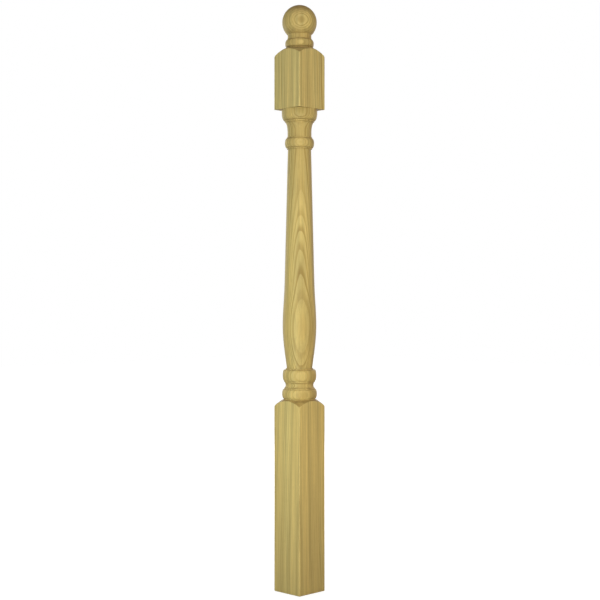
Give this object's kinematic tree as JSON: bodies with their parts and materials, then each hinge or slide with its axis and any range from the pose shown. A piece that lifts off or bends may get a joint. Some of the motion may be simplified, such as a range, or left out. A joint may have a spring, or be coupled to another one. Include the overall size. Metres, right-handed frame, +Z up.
{
  "type": "newel post",
  "caption": "Turned wooden newel post with a ball top, a short square block for the handrail, a tapered turned shaft with a belly, and a long square base block.",
  "frame": {"origin": "centre of the foot, on the surface that the post stands on", "axes": "+Z up along the post, +X and +Y square to two faces of its blocks"},
  "size_m": [0.075, 0.075, 1.2191],
  "materials": {
    "bare_softwood": "matte"
  },
  "bodies": {
    "root": {"newel_post": "bare_softwood"}
  },
  "joints": []
}
